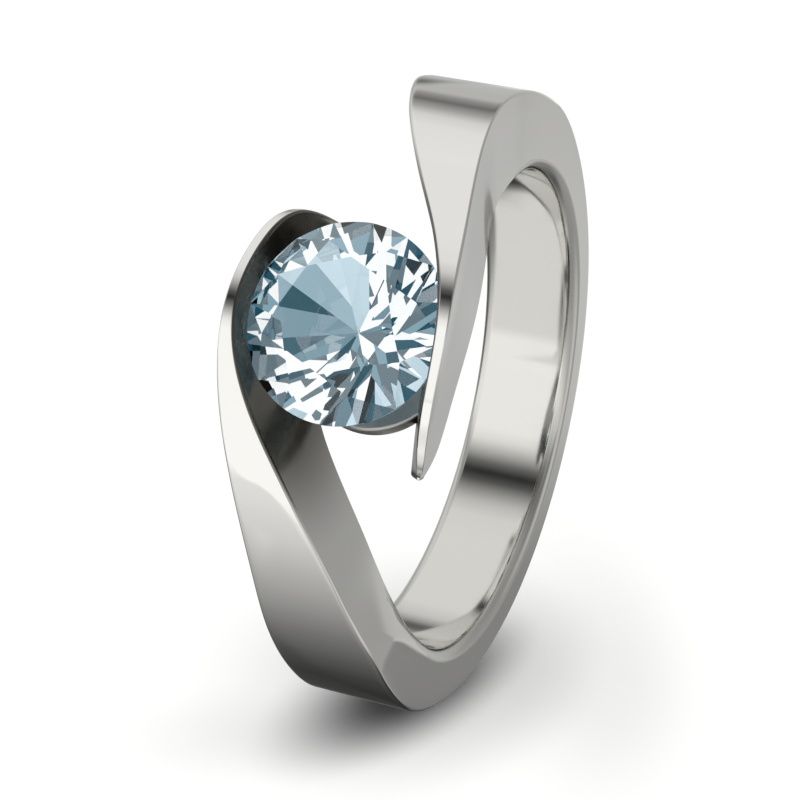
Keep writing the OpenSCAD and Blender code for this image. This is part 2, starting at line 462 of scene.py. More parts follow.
def seat_profile():
    """The section of the room for the stone, from below the girdle to above the arms."""
    slope = PAVILION_DEPTH / STONE_R
    low = GIRDLE_HEIGHT - GIRDLE_THICK / 2 - SEAT_GAP
    high = GIRDLE_HEIGHT + GIRDLE_THICK / 2 + SEAT_GAP
    seat_r, lip_r = STONE_R + SEAT_GAP, STONE_R - LIP_COVER
    return [
        (0, low - POCKET_DEPTH),
        (seat_r - POCKET_DEPTH / slope, low - POCKET_DEPTH),
        (seat_r, low),
        (seat_r, high),
        (lip_r, high + (LIP_COVER + SEAT_GAP) * LIP_SLOPE),
        (lip_r, GIRDLE_HEIGHT + OPEN_ABOVE),
        (0, GIRDLE_HEIGHT + OPEN_ABOVE),
    ]


def spun_bore(sides=360):
    """The finger bore as a cutter, for the inner side of the collar."""
    turns = [2 * math.pi * k / sides for k in range(sides)]
    ends = [[(BORE_R * math.sin(a), -BORE_R * math.cos(a), z) for a in turns] for z in BORE_CUT_ENDS]
    return new_object("bore_cutter", *joined_rings(ends))


def cut_or_join(target, tool, operation):
    """Applies one exact boolean and deletes the tool."""
    step = target.modifiers.new("boolean", "BOOLEAN")
    step.operation = operation
    step.object = tool
    step.solver = "EXACT"
    bpy.context.view_layer.update()
    result = bpy.data.meshes.new_from_object(target.evaluated_get(bpy.context.evaluated_depsgraph_get()))
    target.modifiers.clear()
    target.data = result
    bpy.data.objects.remove(tool)
    return target


collar = spun("collar", collar_profile(), 160)
cut_or_join(collar, spun_bore(), "DIFFERENCE")
cut_or_join(band, collar, "UNION")
cut_or_join(band, spun("seat_cutter", seat_profile(), 240), "DIFFERENCE")
print("band with its collar and seat:", len(band.data.vertices), "points")

# %% [markdown]
# ## Shading and resting place
#
# The band is smooth except where two surfaces really meet at an edge, so edges sharper than a set
# angle are marked sharp and the rest is shaded smooth.
#
# Two places then get their shading set directly. On the real ring a lap leaves the outer sides flat up
# to the tips, and the top of the far arm meets the shank's top at a soft slanting crease. This mesh
# has neither, because its table of sections is coarse. Only the direction that the surface seems to
# face is set there, so a picture shows them and the bare mesh doesn't. That is a shortcut, and a
# finer table would be the way to put them into the shape.
#
# The ring is drawn square to its finger axis, and it lies on its side with the stone's end a little
# higher, because the arms are wider than the shank. Everything is therefore turned by the same
# small angle as in the CAD model.

# %% Finish the band's mesh and lay it down
SHARP_ANGLE = 28

# angles along the band in degrees, and how much a face has to look outward, from 0 to 1
FLAT_SIDE_FADE = (9, 16)
FLAT_SIDE_END = 30
FLAT_SIDE_FACING = 0.6
FLAT_SIDE_LEAN = 0.17
ARM_TOP_FADE = (8, 19)
ARM_TOP_END = 42
ARM_TOP_FACING = (0.3, 0.8)
ARM_TOP_TURN = 29.0
CREASE_SOFTNESS = 0.7
ARM_CREASE = [
    # z in mm, angle along the band
    (-2.9, 20.0), (-2.77, 20.5), (-2.46, 24.1), (-2.11, 25.0), (-1.69, 25.5), (-1.28, 26.6),
    (-0.86, 28.4), (-0.45, 30.6), (-0.11, 32.9), (0.21, 34.7), (0.5, 37.1),
]


def lay_down(made):
    """Turns a piece's points by the lean of the resting ring."""
    made.data.transform(Matrix.Rotation(math.radians(-REST_LEAN), 4, "X"))
    return made


def on_the_arm(along, z):
    """1 where the far arm's own top is, 0 past the crease where it meets the shank's top."""
    crease = np.interp(z, [z for z, turn in ARM_CREASE], [turn for z, turn in ARM_CREASE])
    return 1 - ramp(along, crease - CREASE_SOFTNESS, crease + CREASE_SOFTNESS)


def press_crease(point, normal, face_normal):
    """The far arm's top as a plane up to the crease, and the near arm's top flat up to its tip."""
    along = math.degrees(math.atan2(point.x, -point.y))
    outward = normal.dot(Vector((point.x, point.y, 0)).normalized())
    lean = math.degrees(math.atan2(normal.x, -normal.y)) - ARM_TOP_TURN
    if not ARM_TOP_FADE[0] < along < ARM_TOP_END or outward < ARM_TOP_FACING[0] or lean < 0:
        return normal
    share = on_the_arm(along, point.z / MM) * ramp(outward, *ARM_TOP_FACING) * ramp(along, *ARM_TOP_FADE)
    return Matrix.Rotation(-math.radians(lean * share), 3, "Z") @ normal


def flatten_side(point, normal, face_normal):
    """The outer side of an arm as one flat up to its tip, as a lap leaves it."""
    side = 1 if point.z > 0 else -1
    along = math.degrees(math.atan2(point.x, -point.y)) * side
    if abs(along) > FLAT_SIDE_END or side * face_normal.z < FLAT_SIDE_FACING:
        return normal
    radial = Vector((point.x, point.y, 0)).normalized()
    flat = (Vector((0, 0, side)) - radial * FLAT_SIDE_LEAN).normalized()
    return normal.lerp(flat, ramp(along, *FLAT_SIDE_FADE)).normalized()


def reshade(made, facing):
    """Sets where each corner of each face seems to face. The shape stays."""
    normals = [corner.vector.copy() for corner in made.data.corner_normals]
    for face in made.data.polygons:
        for loop, vertex in zip(face.loop_indices, face.vertices):
            normals[loop] = facing(made.data.vertices[vertex].co, normals[loop], face.normal)
    made.data.normals_split_custom_set(normals)


band.data.shade_smooth()
band.data.set_sharp_from_angle(angle=math.radians(SHARP_ANGLE))
reshade(band, flatten_side)
reshade(band, press_crease)
lay_down(band)
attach(band, "root")
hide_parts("band")
print("sharp edges:", sum(1 for e in band.data.edges if e.use_edge_sharp))

# %% [markdown]
# ## The stone
#
# A round brilliant has a flat table with eight corners, eight stars, eight kites and sixteen small
# facets on its crown, and eight long kites and sixteen small facets on its pavilion. Every facet
# is a plane, so all its corners are worked out to lie in one plane, also along the round girdle,
# where each small facet ends in a shallow wave. Light is bent and mirrored inside the stone by
# those planes, and that is all that makes it sparkle: there is no pattern painted on it.

# %% Cut the stone
TABLE_SHARE = 0.58
STONE_TURN = 0.5
LONG_SHARE = 0.24
GIRDLE_STEPS = 6
EIGHTH = 45.0


def cos_deg(a):
    return math.cos(math.radians(a))


def on_small_facet(corner_r, corner_h, girdle_r, girdle_h, a):
    """Height of a small facet's plane at the girdle, at the angle a from the kite's point."""
    half = EIGHTH / 4
    reach = girdle_r * cos_deg(half)
    corner = corner_r * cos_deg(half)
    here = girdle_r * cos_deg(a - half)
    return girdle_h + (here - reach) * (corner_h - girdle_h) / (corner - reach)


def stone_point(radius, turn, height):
    """A point of the stone: height is counted from the middle of the girdle, outward."""
    a = math.radians(turn + STONE_TURN)
    return (radius * math.sin(a), -GIRDLE_HEIGHT - height, radius * math.cos(a))


def brilliant():
    """Points and facets of the stone."""
    half_girdle = GIRDLE_THICK / 2
    table_r = STONE_R * TABLE_SHARE
    star_r = (table_r * cos_deg(22.5) + STONE_R) / 2
    star_h = half_girdle + CROWN_RISE * (STONE_R - star_r * cos_deg(22.5)) / (STONE_R - table_r)
    long_r = STONE_R * LONG_SHARE
    long_h = -half_girdle - PAVILION_DEPTH * (1 - long_r * cos_deg(22.5) / STONE_R)
    g = GIRDLE_STEPS
    n = 16 * g
    step = 360 / n
    eighths = range(8)

    def folded(i):
        a = (i % (2 * g)) * step
        return a if a <= EIGHTH / 2 else EIGHTH - a

    def waves(corner_r, corner_h, girdle_h):
        heights = [on_small_facet(corner_r, corner_h, STONE_R, girdle_h, folded(i)) for i in range(n)]
        return [stone_point(STONE_R, step * i, height) for i, height in enumerate(heights)]

    points = [stone_point(table_r, EIGHTH * k, half_girdle + CROWN_RISE) for k in eighths]
    points += [stone_point(star_r, EIGHTH * (k + 0.5), star_h) for k in eighths]
    points += waves(star_r, star_h, half_girdle)
    points += waves(long_r, long_h, -half_girdle)
    points += [stone_point(long_r, EIGHTH * (k + 0.5), long_h) for k in eighths]
    points += [stone_point(0, 0, -half_girdle - PAVILION_DEPTH)]

    star, upper = 8, 16
    lower = upper + n
    long_kite = lower + n
    culet = long_kite + 8
    facets = [tuple(eighths)]
    for k in eighths:
        tip = 2 * g * k
        facets.append((k, star + k, (k + 1) % 8))
        facets.append((k, star + (k + 7) % 8, upper + tip, star + k))
        facets.append((star + k, *[upper + tip + i for i in range(g + 1)]))
        facets.append((star + k, *[upper + (tip + i) % n for i in range(g, 2 * g + 1)]))
        facets.append((culet, long_kite + k, lower + tip, long_kite + (k + 7) % 8))
        facets.append((long_kite + k, *[lower + tip + i for i in range(g, -1, -1)]))
        facets.append((long_kite + k, *[lower + (tip + i) % n for i in range(2 * g, g - 1, -1)]))
    facets += [(upper + i, lower + i, lower + (i + 1) % n, upper + (i + 1) % n) for i in range(n)]
    return points, facets


stone = new_object("cut_aquamarine", *brilliant())
lay_down(stone)
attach(stone, "root")
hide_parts("aquamarine")
print("facets of the stone, girdle included:", len(stone.data.polygons))

# %% [markdown]
# ## Rhodium plated white gold
#
# White gold is nearly always plated with rhodium, polished before and after, so the metal is a
# clean mirror with a slightly warm white. Rhodium reflects about four fifths of the light. The
# surface is not quite perfect: buffing leaves the finest haze, in patches of about a millimetre.
# Inside the finger bore a felt cone does the polishing and leaves a little more haze, so that
# surface mirrors a little less light, and on the rim of the bore it leaves more still. A wheel can't
# reach the walls beside the stone or the collar under it, so they stay duller, and the collar is
# darker. The walls beside the stone are also darkened with painted shade, which fades out away from
# the stone, where they get brighter again.

# %% Make the white gold
POLISHED_WHITE = "#E9E8E5"
INSIDE_WHITE = "#DAD9D5"
# the dark grey that the walls beside the stone fade into is painted shade
SEAT_PAINTED_SHADE = "#76746E"
COLLAR_WHITE = "#B4B3AF"
SEAT_REACH = (4.1, 7.5)
SEAT_ROUGHER = 5.0


def leaned(x, y, z):
    """A point of the upright ring, in millimetres, where it is on the ring that lies down."""
    return Matrix.Rotation(math.radians(-REST_LEAN), 3, "X") @ Vector((x, y, z))


def finish_and_painted_shade_by_the_stone(tree, place_on, polish):
    """A colour and a roughness: dark with painted shade and matt by the stone, bright and polished away
    from it.
    """
    far = add_node(tree, "ShaderNodeVectorMath", {"operation": "DISTANCE"},
                   {1: leaned(0, -GIRDLE_HEIGHT, 0) * MM}, {0: place_on.outputs["Object"]})
    share = add_node(tree, "ShaderNodeMapRange", {"interpolation_type": "SMOOTHSTEP"},
                     {"From Min": SEAT_REACH[0] * MM, "From Max": SEAT_REACH[1] * MM},
                     {"Value": far.outputs["Value"]})
    # painted shade: the colour goes from the dark grey by the stone to polished white away from it
    tone = add_node(tree, "ShaderNodeMix", {"data_type": "RGBA"},
                    {6: linear(SEAT_PAINTED_SHADE), 7: linear(POLISHED_WHITE)},
                    {"Factor": share.outputs["Result"]})
    rougher = add_node(tree, "ShaderNodeMapRange", inputs={"To Min": SEAT_ROUGHER, "To Max": 1.0},
                       links={"Value": share.outputs["Result"]})
    roughness = add_node(tree, "ShaderNodeMath", {"operation": "MULTIPLY"},
                         links={0: polish, 1: rougher.outputs["Result"]})
    return tone.outputs[2], roughness.outputs[0]


def white_gold(name, colour, finest, coarsest):
    """Mirror polished rhodium with a faint haze. With no colour it dulls towards the stone and gets
    painted shade there.
    """
    made, tree = new_material(name)
    place_on = add_node(tree, "ShaderNodeTexCoord")
    haze = add_node(tree, "ShaderNodeTexNoise", inputs={"Scale": 1 / (0.9 * MM), "Detail": 3.0},
                    links={"Vector": place_on.outputs["Object"]})
    roughness = add_node(tree, "ShaderNodeMapRange",
                         inputs={"From Min": 0.3, "From Max": 0.7, "To Min": finest, "To Max": coarsest},
                         links={"Value": haze.outputs["Fac"]})
    metal = add_node(tree, "ShaderNodeBsdfPrincipled", inputs={"Metallic": 1.0},
                     links={"Roughness": roughness.outputs["Result"]})
    if colour:
        metal.inputs["Base Color"].default_value = linear(colour)
    else:
        tone, dulled = finish_and_painted_shade_by_the_stone(tree, place_on, roughness.outputs["Result"])
        tree.links.new(tone, metal.inputs["Base Color"])
        tree.links.new(dulled, metal.inputs["Roughness"])
    add_node(tree, "ShaderNodeOutputMaterial", links={"Surface": metal.outputs["BSDF"]})
    return made


OUTSIDE, ON_BORE, BY_THE_STONE, ON_COLLAR, ON_RIM = range(5)
FINISHES = [
    # in the order of the slots: name, colour (none for the one that fades into painted shade by the
    # stone), finest and coarsest haze
    ("rhodium_plated_white_gold", POLISHED_WHITE, 0.035, 0.06),
    ("felt_polished_white_gold", INSIDE_WHITE, 0.06, 0.1),
    ("white_gold_with_painted_shade_by_the_stone", None, 0.035, 0.06),
    ("satin_white_gold", COLLAR_WHITE, 0.3, 0.35),
    ("soft_rim_white_gold", INSIDE_WHITE, 0.16, 0.2),
]
BORE_SLACK = 0.004
COLLAR_SLACK = 0.02
COLLAR_REACH = 9.3
RIM_STARTS_AT = -5
TIPS_PASS_UNTIL = 26
WALL_FACING = 0.3


def finish_of(centre, normal):
    """The slot of a face's finish, from its place on the upright ring and where it faces."""
    if math.hypot(centre.x, centre.y) < (BORE_R + BORE_SLACK) * MM:
        return ON_BORE
    if math.hypot(centre.x, centre.y) < (BORE_R + RIM) * MM and centre.y > RIM_STARTS_AT * MM:
        return ON_RIM
    if (centre - Vector((0, -GIRDLE_HEIGHT * MM, 0))).length > SEAT_REACH[1] * MM:
        return OUTSIDE
    along = math.degrees(math.atan2(centre.x, -centre.y))
    near_arm = centre.z > 0 if abs(along) < TIPS_PASS_UNTIL else along < 0
    toward_stone = -normal.z if near_arm else normal.z
    if toward_stone > WALL_FACING:
        return BY_THE_STONE
    from_axis = math.hypot(centre.x, centre.z)
    on_collar = from_axis < (COLLAR_R + COLLAR_SLACK) * MM and -centre.y < COLLAR_REACH * MM
    return ON_COLLAR if on_collar else OUTSIDE


def finish_faces(made):
    """Gives every face of the band its finish, and counts the faces of each."""
    upright = Matrix.Rotation(math.radians(REST_LEAN), 3, "X")
    count = [0] * len(FINISHES)
    for face in made.data.polygons:
        face.material_index = finish_of(upright @ face.center, upright @ face.normal)
        count[face.material_index] += 1
    return count


band.data.materials.clear()
for finish in FINISHES:
    band.data.materials.append(white_gold(*finish))
print("faces outside, on the bore, beside the stone, on the collar and the rim:", finish_faces(band))

# %% [markdown]
# ## Aquamarine
#
# Aquamarine is beryl, a clear crystal with a refractive index of about 1.58. Its pale sea blue is
# in the body of the stone: red light is lost on the way through, so a long path inside looks deep
# teal and a short one almost white. That is why the colour is an absorption in the volume.

# %% Make the aquamarine
BERYL_IOR = 1.577
SEA_BLUE = "#9CC5D2"


def aquamarine():
    """Clear beryl that absorbs a little red on the way through."""
    made, tree = new_material("aquamarine_beryl")
    crystal = add_node(tree, "ShaderNodeBsdfPrincipled",
                       inputs={"Base Color": linear("#FFFFFF"), "Roughness": 0.0, "IOR": BERYL_IOR,
                               "Transmission Weight": 1.0})
    body = add_node(tree, "ShaderNodeVolumeAbsorption",
                    inputs={"Color": linear(SEA_BLUE), "Density": 45.0})
    add_node(tree, "ShaderNodeOutputMaterial",
             links={"Surface": crystal.outputs["BSDF"], "Volume": body.outputs["Volume"]})
    return made


stone.data.materials.clear()
stone.data.materials.append(aquamarine())
print("stone finish:", stone.data.materials[0].name)

# %% [markdown]
# ## The table top
#
# The ring lies on a plain pale sheet. Mirror polished metal would show that sheet on every surface
# that leans down, and product photographers keep it out of the reflections with small cards. Here
# the sheet is simply not shown to reflected rays, so the metal mirrors only the studio.

# %% Lay the sheet
FLOOR_PALE = "#F4F4F3"


def matt_paper():
    """Uncoated white paper: quite rough, with the slightest unevenness of its fibres."""
    made, tree = new_material("matt_paper")
    place_on = add_node(tree, "ShaderNodeTexCoord")
    fibres = add_node(tree, "ShaderNodeTexNoise", inputs={"Scale": 1 / (0.4 * MM), "Detail": 4.0},
                      links={"Vector": place_on.outputs["Object"]})
    relief = add_node(tree, "ShaderNodeBump", inputs={"Strength": 0.1, "Distance": 0.01 * MM},
                      links={"Height": fibres.outputs["Fac"]})
    paper = add_node(tree, "ShaderNodeBsdfPrincipled",
                     inputs={"Base Color": linear(FLOOR_PALE), "Roughness": 0.9,
                             "Specular IOR Level": 0.2},
                     links={"Normal": relief.outputs["Normal"]})
    add_node(tree, "ShaderNodeOutputMaterial", links={"Surface": paper.outputs["BSDF"]})
    return made


def flat_sheet(name, corners, material):
    """A four-sided sheet with its corners in millimetres."""
    made = new_object(name, corners, [(0, 1, 2, 3)])
    made.data.materials.append(material)
    return made


reach = 1500.0
table_z = cad_low.z / MM
floor = flat_sheet("studio_floor", [(-reach, -reach, table_z), (reach, -reach, table_z),
                                    (reach, reach, table_z), (-reach, reach, table_z)], matt_paper())
floor.visible_glossy = False
floor.visible_transmission = False
print("the sheet lies at", round(table_z, 3), "mm")

# %% [markdown]
# ## The studio that the metal mirrors
#
# Polished metal has no look of its own, it only shows what stands round it. A jewellery
# photographer hangs pale silks round the ring and dark strips between them, and each dark line on
# the metal is such a strip. The sky is drawn as six belts, one above the other: under, low, shallow,
# level, high and overhead. Each belt is a table of compass directions and how bright the silk is
# there, and the belts melt into each other. The compass starts at the camera's side, -Y, and turns
# to +X. The low and the shallow belt are the same on the left and differ on the right.
#
# Silks that flatter the metal make a stone look flat, and cards that make a stone sparkle spoil the
# metal. Jewellery photographs are therefore often joined from exposures with different lighting.
# The sky does the same here: what goes through the stone sees small cards of white and sea blue,
# and the sheet and the open background get the light of an even dome.

# %% Hang the silks
UNDER_BELT = [
    # direction, light
    (-180, 0.35), (-165, 0.60), (-150, 0.60), (-135, 0.42), (-120, 0.55), (-105, 0.72), (-90, 0.80),
    (-60, 0.78), (-45, 0.66), (-30, 0.32), (-15, 0.45), (0, 0.95), (15, 1.10), (40, 1.00), (52, 0.85),
    (61, 0.80), (75, 0.66), (90, 0.42), (105, 0.28), (120, 0.18), (135, 0.11), (150, 0.065),
    (165, 0.10), (180, 0.35),
]
LOW_BELT = [
    (-180, 0.30), (-172, 0.48), (-150, 0.51), (-143, 0.32), (-137, 0.15), (-132, 0.14), (-127, 0.42),
    (-120, 0.74), (-108, 0.90), (-60, 0.92), (-45, 0.88), (-38, 0.70), (-32, 0.38), (-27, 0.12),
    (-22, 0.02), (-17, 0.18), (-12, 0.54), (-6, 0.98), (0, 1.14), (54, 1.14), (62, 0.88), (75, 0.62),
    (90, 0.42), (105, 0.28), (120, 0.17), (135, 0.08), (150, 0.04), (172, 0.05), (180, 0.30),
]
SHALLOW_BELT = [(turn, light) for turn, light in LOW_BELT if turn <= 0] + [
    (45, 1.15), (50, 0.92), (140, 0.90), (147, 0.35), (153, 0.06), (172, 0.05), (180, 0.30),
]
LEVEL_BELT = [
    (-180, 0.24), (-178, 0.26), (-176.5, 0.24), (-175, 0.29), (-173, 0.42), (-171.5, 0.54), (-168, 0.58),
    (-164, 0.53), (-122, 0.40), (-100, 0.45), (-60, 0.50), (-42, 0.42), (-30, 0.18), (-22, 0.04),
    (-14, 0.20), (-2, 1.00), (45, 1.10), (60, 0.90), (110, 0.70), (140, 0.25), (158, 0.10), (180, 0.24),
]
HIGH_BELT = [
    (-180, 0.39), (-155, 0.38), (-130, 0.36), (-112, 0.33), (-60, 0.38), (-40, 0.24), (-22, 0.10),
    (-4, 0.50), (20, 1.00), (55, 0.55), (80, 0.38), (110, 0.34), (150, 0.36), (180, 0.39),
]
OVERHEAD_BELT = [
    (-180, 0.75), (-140, 0.62), (-105, 0.38), (-75, 0.25), (-45, 0.18), (-15, 0.40), (5, 0.80),
    (30, 0.80), (60, 0.55), (90, 0.45), (130, 0.60), (180, 0.75),
]
METAL_BELTS = [
    # elevations between which the belt below melts into this one, and its silks
    ((-90, -90), UNDER_BELT),
    ((-28, -22), LOW_BELT),
    ((-21.6, -20), SHALLOW_BELT),
    ((-6, 2), LEVEL_BELT),
    ((12, 20), HIGH_BELT),
    ((38, 62), OVERHEAD_BELT),
]
SILK_BLUE = 0.99
DOME_LIGHT = 1.14
STONE_LIGHT = 1.32
TONES = {
    "white": "#FFF9F6", "pale": "#BCCFD8", "mist": "#86A0AB", "mid": "#6C8894",
    "grey": "#66747B", "teal": "#1A4A5A", "deep": "#04404F", "ink": "#091B22",
}
BEHIND_LEFT = [
    (-180, "deep"), (-173.7, "mid"), (-159.3, "teal"), (-149.3, "mid"), (-135, "grey"), (-110, "deep"),
]
BEHIND_RIGHT = [(110, "deep"), (135, "pale"), (168.4, "mist"), (179, "deep")]
STONE_BELTS = [
    # lowest elevation, cards: where each starts on the compass, and its tone
    (-90, BEHIND_LEFT + [
        (-90, "teal"), (-82, "pale"), (-74, "grey"), (-64, "white"), (-50, "teal"), (-30, "mist"),
        (-22, "white"), (-14, "teal"), (-6, "white"), (4, "grey"), (20, "mid"), (28, "white"),
        (36, "teal"), (44, "mist"), (52, "teal"), (60, "white"), (72, "mist"), (90, "ink"),
    ] + BEHIND_RIGHT),
    (-16, BEHIND_LEFT + [
        (-90, "pale"), (-78, "mid"), (-62, "teal"), (-46, "mist"), (-30, "teal"), (-22, "white"),
        (-14, "grey"), (-6, "white"), (0, "mid"), (8, "mist"), (16, "grey"), (24, "teal"),
        (30, "white"), (38, "grey"), (46, "mist"), (56, "teal"), (64, "pale"), (80, "grey"),
    ] + BEHIND_RIGHT),
    (0, BEHIND_LEFT + [
        (-90, "mist"), (-74, "white"), (-60, "ink"), (-48, "mist"), (-40, "grey"), (-32, "teal"),
        (-26, "grey"), (-18, "white"), (-12, "mist"), (-6, "white"), (11, "grey"), (17, "white"),
        (22, "grey"), (28, "white"), (34, "teal"), (42, "grey"), (48, "ink"), (54, "white"),
        (62, "mist"), (76, "mid"),
    ] + BEHIND_RIGHT),
    (22, BEHIND_LEFT + [
        (-90, "mid"), (-60, "ink"), (-48, "mist"), (-36, "teal"), (-28, "grey"), (-22, "ink"),
        (-16, "white"), (-8, "grey"), (0, "white"), (5, "teal"), (10, "white"), (20, "mist"),
        (26, "ink"), (34, "white"), (42, "grey"), (50, "teal"), (60, "mist"), (75, "grey"),
    ] + BEHIND_RIGHT),
    (42, [
        (-180, "mid"), (-90, "mid"), (-54, "ink"), (-40, "mist"), (-30, "grey"), (-20, "white"),
        (18, "pale"), (26, "teal"), (40, "grey"), (60, "teal"), (74, "pale"), (95, "mid"),
    ]),
]


def ramp_of(tree, place, colours, kind):
    """A colour ramp from (place, colour) pairs, with places from 0 to 1."""
    made = add_node(tree, "ShaderNodeValToRGB", links={"Fac": place})
    made.color_ramp.interpolation = kind
    stops = made.color_ramp.elements
    while len(stops) < len(colours):
        stops.new(1.0)
    for stop, (at, colour) in zip(stops, colours):
        stop.position = at
        stop.color = colour
    return made.outputs["Color"]


def silk(tree, azimuth, table):
    """One belt of silk round the horizon, from a table of directions and light."""
    colours = [((turn + 180) / 360, (light, light, light * SILK_BLUE, 1.0)) for turn, light in table]
    return ramp_of(tree, azimuth, colours, "LINEAR")


def melt(tree, height, start, end, below, above):
    """Goes smoothly from the belt below to the belt above, between two elevations in degrees."""
    share = add_node(tree, "ShaderNodeMapRange", {"interpolation_type": "SMOOTHSTEP"},
                     {"From Min": math.sin(math.radians(start)),
                      "From Max": math.sin(math.radians(end))},
                     {"Value": height})
    made = add_node(tree, "ShaderNodeMix", {"data_type": "RGBA"},
                    links={"Factor": share.outputs["Result"], 6: below, 7: above})
    return made.outputs[2]


def compass(tree):
    """Where a ray goes: its direction on the compass, from 0 to 1, and its height, from -1 to 1."""
    direction = add_node(tree, "ShaderNodeTexCoord")
    parts = add_node(tree, "ShaderNodeSeparateXYZ", links={"Vector": direction.outputs["Generated"]})
    front = add_node(tree, "ShaderNodeMath", {"operation": "MULTIPLY"}, {1: -1.0}, {0: parts.outputs["Y"]})
    turn = add_node(tree, "ShaderNodeMath", {"operation": "ARCTAN2"},
                    links={0: parts.outputs["X"], 1: front.outputs[0]})
    share = add_node(tree, "ShaderNodeMapRange",
                     inputs={"From Min": -math.pi, "From Max": math.pi, "To Min": 0.0, "To Max": 1.0},
                     links={"Value": turn.outputs[0]})
    return share.outputs["Result"], parts.outputs["Z"]


def metal_light(tree, azimuth, height):
    """What the metal mirrors: six belts of silk and dark strips."""
    sky = None
    for (start, end), table in METAL_BELTS:
        belt = silk(tree, azimuth, table)
        sky = melt(tree, height, start, end, sky, belt) if sky else belt
    return add_node(tree, "ShaderNodeBackground", inputs={"Strength": 1.0}, links={"Color": sky})


def stone_light(tree, azimuth, height):
    """What is seen through the stone: small cards of white and sea blue, edge to edge."""
    sky = None
    for start, cells in STONE_BELTS:
        colours = [((turn + 180) / 360, linear(TONES[tone])) for turn, tone in cells]
        cards = ramp_of(tree, azimuth, colours, "CONSTANT")
        sky = melt(tree, height, start - 0.5, start + 0.5, sky, cards) if sky else cards
    return add_node(tree, "ShaderNodeBackground", inputs={"Strength": STONE_LIGHT}, links={"Color": sky})


def either(tree, choice, usual, chosen):
    """The chosen light for the rays that the light path output names, and the usual one for the rest."""
    return add_node(tree, "ShaderNodeMixShader", links={"Fac": choice, 1: usual, 2: chosen}).outputs[0]


def studio_sky():
    """The world: an even dome for the sheet, silks for the metal and small cards for the stone."""
    world = bpy.data.worlds.new("studio_sky")
    world.use_nodes = True
    tree = world.node_tree
    tree.nodes.clear()
    azimuth, height = compass(tree)
    ray = add_node(tree, "ShaderNodeLightPath")
    dome = add_node(tree, "ShaderNodeBackground",
                    inputs={"Color": linear("#FFFFFF"), "Strength": DOME_LIGHT})
    metal = metal_light(tree, azimuth, height)
    stone_cards = stone_light(tree, azimuth, height)
    light = either(tree, ray.outputs["Is Glossy Ray"], dome.outputs[0], metal.outputs[0])
    light = either(tree, ray.outputs["Is Transmission Ray"], light, stone_cards.outputs[0])
    add_node(tree, "ShaderNodeOutputWorld", links={"Surface": light})
    world.cycles.sampling_method = "NONE"
    return world


bpy.context.scene.world = studio_sky()
bpy.context.scene.view_settings.view_transform = "Standard"
band.visible_transmission = False
band.visible_diffuse = stone.visible_diffuse = False
print("stops in the belts of the metal's sky:", [len(table) for melts, table in METAL_BELTS])
print("belts of the stone's sky have", [len(cells) for start, cells in STONE_BELTS], "cards")

# %% [markdown]
# ## Two cards close to the ring
#
# The sky is far away, so surfaces that face the same way mirror the same part of it. The outside
# of the shank gets darker towards the side that it would stand on, though the inside of the band
# that faces the same way stays pale. A card close to the ring does that: the outside mirrors the
# card, and the inside looks past it. Each card gets brighter and darker along its length and thins
# out at its foot, and only reflected rays see it.

# %% Stand the cards beside the ring
SHADE_CARD = [
    # place along Y in mm, light
    (-24.0, 1.16), (-18.6, 1.16), (-17.2, 0.90), (-15.5, 0.86), (-12.7, 0.73), (-10.2, 0.53),
    (-8.1, 0.385), (-6.3, 0.28), (-4.6, 0.21), (-2.7, 0.16), (-0.4, 0.105), (2.5, 0.057),
    (6.6, 0.035), (12.0, 0.03),
]
STRIPE_CARD = [
    (-12.0, 0.93), (-8.8, 0.88), (-7.7, 0.76), (-6.8, 0.42), (-5.8, 0.17), (-4.8, 0.33), (-4.0, 0.53),
    (-2.5, 0.52), (3.5, 0.53), (5.0, 0.64), (8.0, 0.95),
]
# x, lowest and highest z, and two places [y, z] of the foot, all in mm
SHADE_CARD_PLACE = (15.5, -12.0, 8.0, [(-21.0, -11.0), (-12.5, -4.6)])
STRIPE_CARD_PLACE = (-15.5, -6.0, 3.0, [(-12.0, -4.6), (8.0, -4.6)])
CARD_FEATHER = 1.2


def graded_card(name, x, low, high, edge, table):
    """An upright card at x whose light changes along Y, with a feathered foot along the line edge."""
    start, end = table[0][0], table[-1][0]
    made, tree = new_material(name + "_light")
    place_on = add_node(tree, "ShaderNodeTexCoord")
    parts = add_node(tree, "ShaderNodeSeparateXYZ", links={"Vector": place_on.outputs["Object"]})
    share = add_node(tree, "ShaderNodeMapRange",
                     inputs={"From Min": start * MM, "From Max": end * MM, "To Min": 0.0, "To Max": 1.0},
                     links={"Value": parts.outputs["Y"]})
    colours = [((y - start) / (end - start), (light, light, light * SILK_BLUE, 1.0))
               for y, light in table]
    glow = add_node(tree, "ShaderNodeEmission", inputs={"Strength": 1.0},
                    links={"Color": ramp_of(tree, share.outputs["Result"], colours, "LINEAR")})
    (y0, z0), (y1, z1) = edge
    foot = add_node(tree, "ShaderNodeMapRange",
                    inputs={"From Min": y0 * MM, "From Max": y1 * MM,
                            "To Min": z0 * MM, "To Max": z1 * MM},
                    links={"Value": parts.outputs["Y"]})
    over = add_node(tree, "ShaderNodeMath", {"operation": "SUBTRACT"},
                    links={0: parts.outputs["Z"], 1: foot.outputs["Result"]})
    solid = add_node(tree, "ShaderNodeMapRange", {"interpolation_type": "SMOOTHSTEP"},
                     {"From Min": 0.0, "From Max": CARD_FEATHER * MM}, {"Value": over.outputs[0]})
    clear = add_node(tree, "ShaderNodeBsdfTransparent")
    add_node(tree, "ShaderNodeOutputMaterial",
             links={"Surface": either(tree, solid.outputs["Result"], clear.outputs[0], glow.outputs[0])})
    card = flat_sheet(name, [(x, start, low), (x, end, low), (x, end, high), (x, start, high)], made)
    card.visible_camera = card.visible_diffuse = card.visible_shadow = False
    card.visible_transmission = card.visible_volume_scatter = False
    return card


